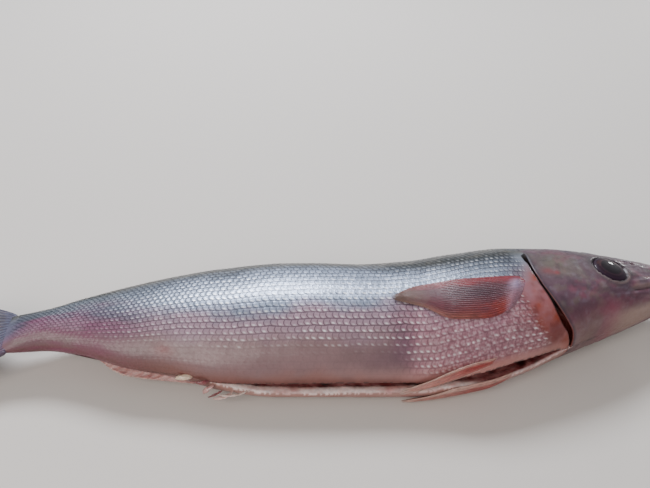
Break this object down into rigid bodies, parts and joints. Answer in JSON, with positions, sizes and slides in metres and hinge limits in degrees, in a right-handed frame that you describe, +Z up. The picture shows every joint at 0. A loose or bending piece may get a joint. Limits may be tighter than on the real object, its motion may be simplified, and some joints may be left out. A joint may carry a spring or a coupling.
{
  "type": "gutted raw fish",
  "caption": "Cleaned and gutted raw fish lying on its left flank, with the belly slit open into the empty gut cavity, open gill slits and the fins folded back.",
  "frame": {"origin": "on the flat rest face of the left flank, under the middle of the body", "axes": "+X points to the head, +Y to the back, +Z up out of the right flank; the fish lies on its left flank on the plane z = 0"},
  "size_m": [0.4364, 0.0959, 0.0512],
  "materials": {
    "fish_skin": "satin",
    "paired_fin": "satin",
    "pale_fin": "satin",
    "eye": "gloss"
  },
  "bodies": {
    "root": {"body": "fish_skin", "right_pectoral_fin": "paired_fin", "left_pectoral_fin": "paired_fin", "right_pelvic_fin": "pale_fin", "left_pelvic_fin": "pale_fin", "anal_fin": "pale_fin", "caudal_fin": "pale_fin", "first_dorsal_fin": "pale_fin", "second_dorsal_fin": "pale_fin", "right_eye": "eye", "left_eye": "eye"}
  },
  "joints": []
}
